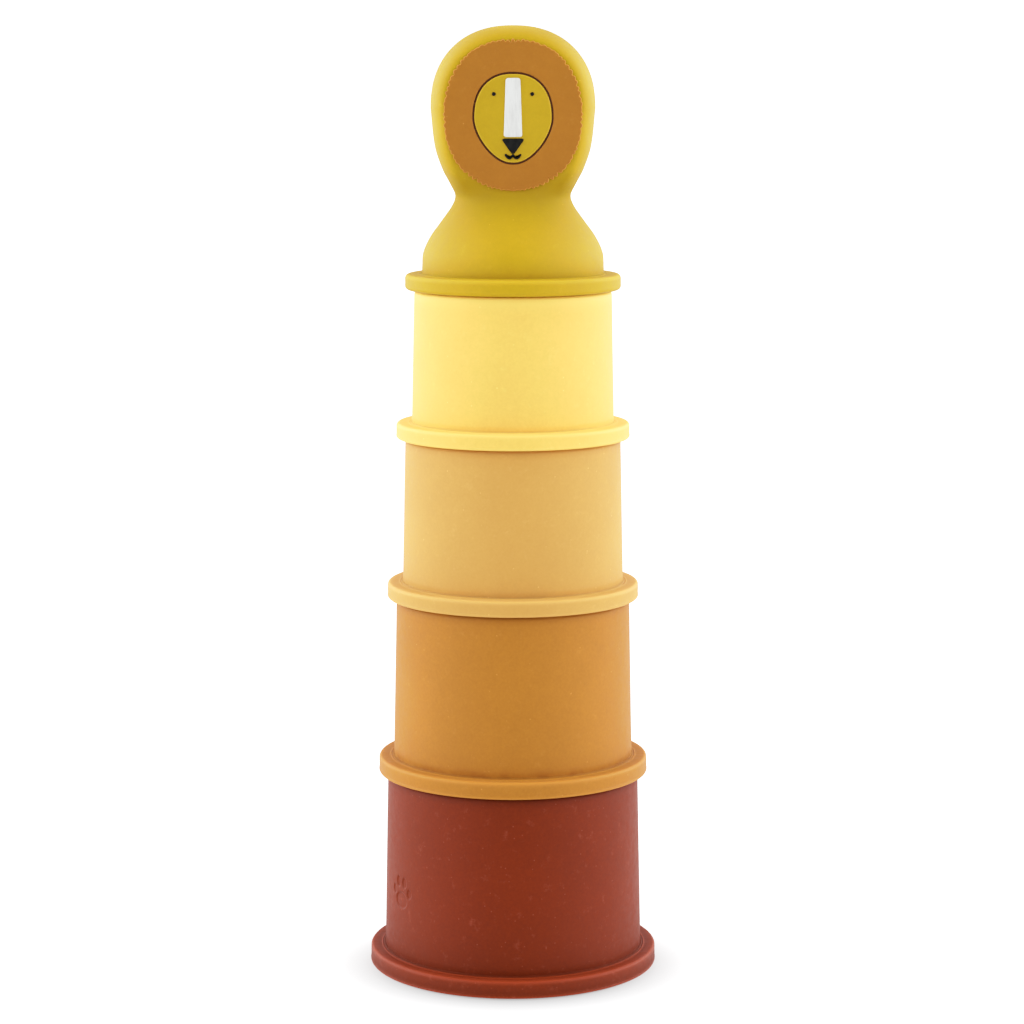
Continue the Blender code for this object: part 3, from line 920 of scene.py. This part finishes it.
def silicone(name, hex_colour, specks, ridge=1.4, translucency=0.05, grain=0.03, scuffed=0.25, foot_patches=None):
    """Matt silicone: soft mottling, fine grain, dust specks and scuffs, painted highlights and painted shade
    from the edge marks, and darker patches in a band above a foot when foot_patches is given.
    """
    shader = Shader(name)
    colour = linear(hex_colour)
    broad = shader.noise(BROAD_SCALE, 2.0)
    fine = shader.noise(FINE_SCALE, 4.0, 0.6)
    mottle = shader.math("ADD", shader.math("MULTIPLY", broad, 0.6), shader.math("MULTIPLY", fine, 0.4))
    body = shader.mix(shader.ranged(mottle, 0.38, 0.62), toned(colour, 0.95), toned(colour, 1.03))
    shade = shader.ranged(shader.noise(GRAIN_SCALE, 2.0), 0.3, 0.7, 1 - grain, 1 + grain)
    body = shader.mix(1.0, body, shade, "MULTIPLY")
    scuffs = shader.ranged(shader.noise(SCUFF_SCALE, 5.0, 0.75), 0.58, 0.74, 0.0, scuffed)
    dust = lint(shader, DUST_SCALE, specks * 8, 0.11)
    fibre = lint(shader, FIBRE_SCALE, specks * 2, 0.06, (1.0, 1.0, 0.4))
    scattered = shader.math("MULTIPLY", shader.math("MAXIMUM", dust, fibre), DUST_STRENGTH)
    dust_and_painted_light = shader.mix(shader.math("MAXIMUM", scattered, scuffs), body, toned(colour, *DUST_TONE))
    # Edge marks above 0 lighten the colour as a painted highlight (ridge sets how much), below 0 darken it
    # as painted shade
    painted_light = shader.edge()
    dust_and_painted_light = shader.mix(shader.ranged(painted_light, 0.0, 1.0), dust_and_painted_light, toned(colour, ridge, 0.01))
    dust_and_painted_light = shader.mix(shader.ranged(painted_light, 0.0, -1.0), dust_and_painted_light, toned(colour, PAINTED_SHADE_TONE))
    if foot_patches is not None:
        dust_and_painted_light = darkened_in_patches(shader, dust_and_painted_light, *foot_patches)
    shader.put(shader.principled.inputs["Base Color"], dust_and_painted_light)
    rough = shader.ranged(fine, 0.3, 0.7, ROUGHNESS - 0.05, ROUGHNESS + 0.06)
    rough = shader.math("ADD", rough, shader.ranged(painted_light, 0.0, -1.0, 0.0, CREASE_ROUGHNESS))
    shader.put(shader.principled.inputs["Roughness"], rough)
    shader.principled.inputs["IOR"].default_value = REFRACTION
    shader.principled.inputs["Specular IOR Level"].default_value = GLOSS
    shader.principled.inputs["Subsurface Weight"].default_value = translucency
    shader.principled.inputs["Subsurface Radius"].default_value = GLOW_RADIUS
    shader.principled.inputs["Subsurface Scale"].default_value = 1.0
    pores = shader.node("Bump", Strength=0.18, Distance=0.00006, Height=shader.noise(PORE_SCALE, 2.0))
    swell = shader.node("Bump", Strength=0.25, Distance=0.0004, Height=shader.noise(SWELL_SCALE, 2.0))
    shader.put(pores.inputs["Normal"], swell.outputs["Normal"])
    shader.put(shader.principled.inputs["Normal"], pores.outputs["Normal"])
    return shader.material


def strokes(name, colour, shade, roughness, stretch):
    """Inlay silicone whose face shows faint strokes."""
    shader = Shader(name)
    drawn = shader.noise(1.0, 4.0, 0.65, shader.scaled(*stretch))
    body = shader.mix(shader.ranged(drawn, 0.45, 0.72), linear(colour), linear(shade))
    shader.put(shader.principled.inputs["Base Color"], body)
    rough = shader.ranged(drawn, 0.3, 0.7, roughness, roughness + 0.1)
    shader.put(shader.principled.inputs["Roughness"], rough)
    shader.principled.inputs["IOR"].default_value = REFRACTION
    shader.principled.inputs["Specular IOR Level"].default_value = GLOSS
    bump = shader.node("Bump", Strength=0.4, Distance=0.00008, Height=drawn)
    shader.put(shader.principled.inputs["Normal"], bump.outputs["Normal"])
    return shader.material


# Stage


def stage_material():
    """Pale floor with a painted soft contact shadow round the lowest rim."""
    shader = Shader("studio_floor")
    moved = shader.node("Mapping", Vector=shader.place, Location=(0.0, CONTACT_FORWARD, 0.0))
    distance = shader.node("VectorMath", {"operation": "LENGTH"}, Vector=moved.outputs["Vector"])
    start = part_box("base_cup")[1].x - CONTACT_FORWARD
    near = shader.ranged(distance.outputs["Value"], start, start + CONTACT_REACH, 1.0, 0.0)
    near = shader.math("POWER", near, CONTACT_FALL)
    light = shader.math("SUBTRACT", 1.0, shader.math("MULTIPLY", near, CONTACT_SHADE))
    darker, lighter = toned(FLOOR_WHITE, FLOOR_TONE), toned(FLOOR_WHITE, FLOOR_TONE * 1.03)
    tone = shader.mix(shader.noise(3.0, 2.0), darker, lighter)
    shader.put(shader.principled.inputs["Base Color"], shader.mix(1.0, tone, light, "MULTIPLY"))
    shader.principled.inputs["Roughness"].default_value = 0.85
    shader.principled.inputs["Specular IOR Level"].default_value = 0.0
    shader.principled.inputs["Emission Color"].default_value = (1.0, 1.0, 1.0, 1.0)
    shader.put(shader.principled.inputs["Emission Strength"], shader.math("MULTIPLY", light, FLOOR_GLOW))
    return shader.material


def make_floor():
    bpy.ops.mesh.primitive_plane_add(size=FLOOR_SIZE, location=(0.0, 0.0, FLOOR_HEIGHT))
    floor = bpy.context.active_object
    floor.name = "floor"
    floor.data.materials.append(stage_material())
    floor.visible_diffuse = False
    floor.visible_glossy = False
    floor.visible_shadow = False


def make_world():
    """White studio: bright at both sides, dim in front, a soft bounce from the floor."""
    world = bpy.data.worlds.new("studio")
    bpy.context.scene.world = world
    world.use_nodes = True
    tree = world.node_tree
    background = tree.nodes["Background"]
    background.inputs["Color"].default_value = (1.0, 1.0, 1.0, 1.0)
    coordinates = tree.nodes.new("ShaderNodeTexCoord")
    split = tree.nodes.new("ShaderNodeSeparateXYZ")
    tree.links.new(coordinates.outputs["Generated"], split.inputs[0])

    def ranged(source, low, high, to_low, to_high):
        made = tree.nodes.new("ShaderNodeMapRange")
        made.interpolation_type = "SMOOTHSTEP"
        tree.links.new(source, made.inputs["Value"])
        for key, value in (("From Min", low), ("From Max", high), ("To Min", to_low), ("To Max", to_high)):
            made.inputs[key].default_value = value
        return made.outputs["Result"]

    def combined(operation, first, second):
        made = tree.nodes.new("ShaderNodeMath")
        made.operation = operation
        for socket, value in zip(made.inputs, (first, second)):
            if isinstance(value, bpy.types.NodeSocket):
                tree.links.new(value, socket)
            else:
                socket.default_value = value
        return made.outputs["Value"]

    across = combined("MULTIPLY", split.outputs["X"], split.outputs["X"])
    sides = combined("MULTIPLY", across, WORLD_SIDES)
    behind = ranged(split.outputs["Y"], -0.2, 0.7, WORLD_AROUND, WORLD_BEHIND)
    above = ranged(split.outputs["Z"], -0.12, 0.0, 0.0, 1.0)
    upper = combined("MULTIPLY", combined("ADD", sides, behind), above)
    lower = combined("MULTIPLY", combined("SUBTRACT", 1.0, above), WORLD_BOUNCE)
    overhead = ranged(split.outputs["Z"], 0.25, 1.0, 0.0, WORLD_OVERHEAD)
    lighting = combined("ADD", combined("ADD", upper, overhead), lower)
    path = tree.nodes.new("ShaderNodeLightPath")
    seen = combined("MULTIPLY", path.outputs["Is Camera Ray"], BACKDROP)
    total = combined("MAXIMUM", lighting, seen)
    tree.links.new(total, background.inputs["Strength"])


def set_response():
    """Standard colour with a soft shoulder, so that pale silicone keeps its colour when brightly lit."""
    view = bpy.context.scene.view_settings
    view.view_transform = "Standard"
    view.use_curve_mapping = True
    mapping = view.curve_mapping
    mapping.white_level = (RESPONSE_WHITE, RESPONSE_WHITE, RESPONSE_WHITE)
    curve = mapping.curves[3]
    for level, shown in RESPONSE_POINTS:
        curve.points.new(level / RESPONSE_WHITE, shown)
    for point in curve.points:
        point.handle_type = "VECTOR"
    mapping.update()


def make_camera():
    camera = bpy.data.cameras.new("camera")
    camera.sensor_width = 36.0
    camera.lens = CAMERA_LENS
    eye = bpy.data.objects.new("camera", camera)
    bpy.context.scene.collection.objects.link(eye)
    eye.location = CAMERA_PLACE
    eye.rotation_euler = (math.pi / 2 - CAMERA_TILT, 0.0, 0.0)
    bpy.context.scene.camera = eye


def make_face(mane, outline, face_mustard, white, black):
    """The inlays on the head's front, each dressed in its material."""
    face = face_outline()
    hole = grown(face, FACE_OUTLINE_WIDTH)
    plate = ring_plate("mane_plate", mane_outline(), hole, MANE_BACK, PANEL_FRONT, MANE_EDGE, MANE_CROWN)
    dress(plate, mane, "topper", "mane_inlay")
    behind = grown(face, BACKING_MARGIN)
    plate = puck("face_backing_plate", behind, BACKING_BACK, BACKING_FRONT, BACKING_EDGE)
    dress(plate, outline, "topper", "face_backing")
    plate = puck("face_plate", face, PANEL_BACK, PANEL_FRONT, PANEL_EDGE, PANEL_CROWN)
    dress(plate, face_mustard, "topper", "face_panel")
    plate = puck(
        "nose_bridge_plate", bridge_outline(), INLAY_BACK, BRIDGE_FRONT, BRIDGE_EDGE, BRIDGE_CROWN
    )
    dress(plate, white, "topper", "nose_bridge_inlay")
    plate = puck("nose_plate", nose_outline(), INLAY_BACK, NOSE_FRONT, NOSE_EDGE, NOSE_CROWN)
    dress(plate, black, "topper", "nose_inlay")
    lips = band_outline(mouth_line(), MOUTH_LINE)
    plate = puck("mouth_plate", lips, INLAY_BACK, MOUTH_FRONT, MOUTH_EDGE)
    dress(plate, black, "topper", "mouth_inlay")
    for name, side in (("eye_left", -1), ("eye_right", 1)):
        plate = puck(name + "_plate", eye_outline(side), INLAY_BACK, EYE_FRONT, EYE_EDGE)
        dress(plate, black, "topper", name + "_inlay")


def main():
    terracotta = silicone("terracotta", "641E01", 0.08, 1.9, translucency=0.0, grain=0.09, scuffed=0.65)
    ochre_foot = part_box("second_cup")[0].z + RIM_HEIGHTS[1]
    ochre = silicone("ochre", "9C631F", 0.03, 1.45, grain=0.05, foot_patches=(ochre_foot + 0.0004, 0.003, "743E12"))
    apricot = silicone("apricot", "BB8945", 0.02, 1.4)
    pale = silicone("pale_yellow", "EAB456", 0.015, 1.3)
    mustard = silicone("mustard", "A98610", 0.025, 1.35)
    face_mustard = silicone("face_mustard", "A58415", 0.02, 1.35)
    mane = silicone("mane_brown", "945E1C", 0.03, 1.5)
    outline = silicone("outline_brown", "40200A", 0.0, 1.1, translucency=0.0)
    white = strokes("bridge_white", "CED0CD", "BABBB8", 0.6, (900.0, 900.0, 160.0))
    black = strokes("nose_black", "060606", "181817", 0.5, (700.0, 700.0, 420.0))

    cup_materials = (terracotta, ochre, apricot, pale)
    for index, node in enumerate(CUPS):
        dress(make_cup(index), cup_materials[index], BODIES[node], node)
    dress(make_topper(), mustard, "topper", "lion_topper")
    make_face(mane, outline, face_mustard, white, black)

    make_floor()
    make_world()
    make_camera()
    set_response()


main()
